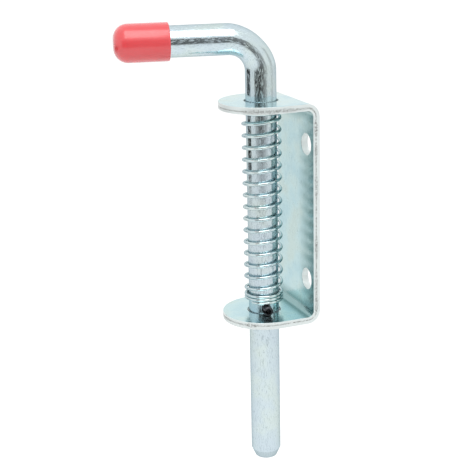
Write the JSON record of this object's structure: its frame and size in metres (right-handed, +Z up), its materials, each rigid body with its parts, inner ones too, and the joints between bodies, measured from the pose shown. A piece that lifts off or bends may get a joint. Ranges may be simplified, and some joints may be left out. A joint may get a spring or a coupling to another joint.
{
  "type": "spring latch",
  "caption": "Bent-handle bolt that slides and turns in a U-shaped bracket of folded sheet, held out by a coil spring and stopped by a pin.",
  "frame": {"origin": "centre of the bracket's back face, which lies against the gate or frame", "axes": "+X into the surface that the bracket is screwed to, +Z up along the bolt towards its handle, +Y completes a right-handed frame"},
  "size_m": [0.0759, 0.0367, 0.1909],
  "materials": {
    "bracket_zinc": "bright bluish zinc plating, smooth and mirror-like",
    "bolt_zinc": "bright zinc plating with faint drawing lines",
    "pin_steel": "dark oiled spring steel",
    "spring_wire": "bright zinc-plated wire",
    "red_vinyl": "glossy dipped vinyl, slightly see-through"
  },
  "bodies": {
    "bracket": {"bracket": "bracket_zinc"},
    "spring": {"spring": "spring_wire"},
    "bolt": {"latch_rod": "bolt_zinc", "roll_pin": "pin_steel", "grip_cap": "red_vinyl"}
  },
  "joints": [
    {"name": "turn", "type": "hinge", "parent": "bracket", "child": "spring", "pos_m": [-0.018, 0, 0], "axis": [0, 0, 1], "continuous": true},
    {"name": "pull", "type": "slide", "parent": "spring", "child": "bolt", "axis": [0, 0, 1], "range_m": [0, 0.055], "stiffness_N_per_m": 530, "springref_m": -0.017, "deforming": ["spring"]}
  ]
}
